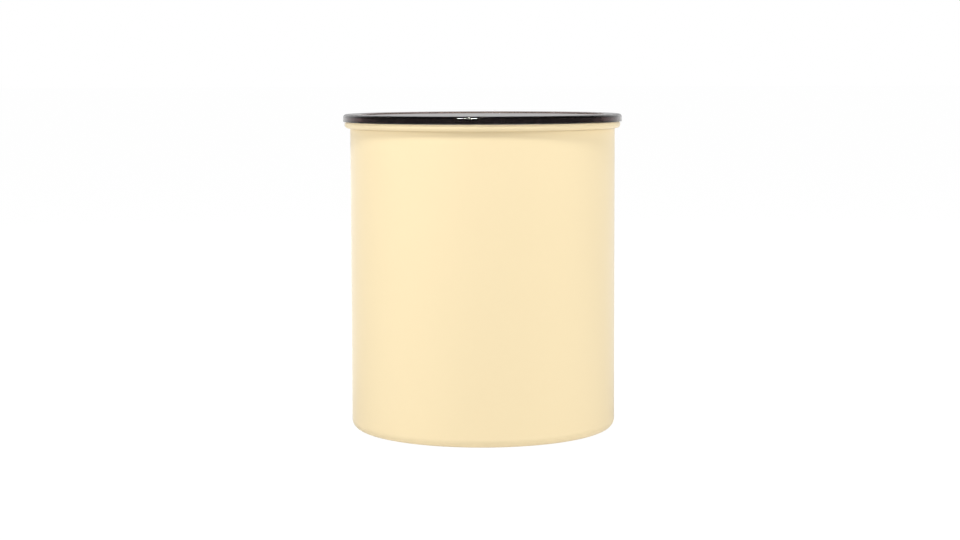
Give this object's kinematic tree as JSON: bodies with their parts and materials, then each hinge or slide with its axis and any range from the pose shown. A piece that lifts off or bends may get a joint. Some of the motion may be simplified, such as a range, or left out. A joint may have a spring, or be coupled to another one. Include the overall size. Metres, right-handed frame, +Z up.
{
  "type": "coffee canister with valve",
  "caption": "Round steel coffee canister with a clear lid over a press-down inner lid, whose folding handle works an air valve.",
  "frame": {"origin": "centre of the can's base, on the ground", "axes": "+Z up along the can's axis; the front is -Y, towards which the inner handle folds down, and +X is to the right"},
  "size_m": [0.178, 0.178, 0.201],
  "materials": {
    "body": "matt powder coat outside, bare steel inside",
    "clear_lid": "clear smoke-tinted gloss",
    "lid_seal": "soft silicone",
    "press_lid": "satin moulded",
    "wiper_seal": "soft silicone",
    "valve_hub": "satin moulded",
    "hub_cover": "satin moulded",
    "cam_shaft": "turned",
    "handle": "satin moulded",
    "valve_plunger": "satin moulded",
    "valve_disc": "soft silicone",
    "plunger_cap": "satin moulded",
    "valve_spring": "drawn wire",
    "hub_screws": "plain",
    "cover_screws": "plain"
  },
  "bodies": {
    "canister": {"canister_shell": "body"},
    "clear_lid": {"clear_lid": "clear_lid", "lid_seal": "lid_seal"},
    "press_lid": {"press_lid": "press_lid", "wiper_seal": "wiper_seal", "valve_hub": "valve_hub", "hub_cover": "hub_cover", "valve_spring": "valve_spring", "hub_screws": "hub_screws", "cover_screws": "cover_screws"},
    "handle": {"handle": "handle", "cam_shaft": "cam_shaft"},
    "plunger": {"valve_plunger": "valve_plunger", "valve_disc": "valve_disc", "plunger_cap": "plunger_cap"}
  },
  "joints": [
    {"name": "lid_lift", "type": "slide", "parent": "canister", "child": "clear_lid", "axis": [0, 0, 1], "range_m": [0, 0.09]},
    {"name": "press_slide", "type": "slide", "parent": "canister", "child": "press_lid", "axis": [0, 0, 1], "range_m": [-0.1145, 0.006]},
    {"name": "handle_fold", "type": "hinge", "parent": "press_lid", "child": "handle", "pos_m": [0, 0, 0.14177], "axis": [-1, 0, 0], "range_deg": [0, 90]},
    {"name": "valve_lift", "type": "slide", "parent": "press_lid", "child": "plunger", "axis": [0, 0, 1], "range_m": [0, 0.00198], "deforming": ["valve_spring"]}
  ],
  "couplings": [
    {"joint": "valve_lift", "follows": "handle_fold", "m_per_rad": 0.00126}
  ]
}
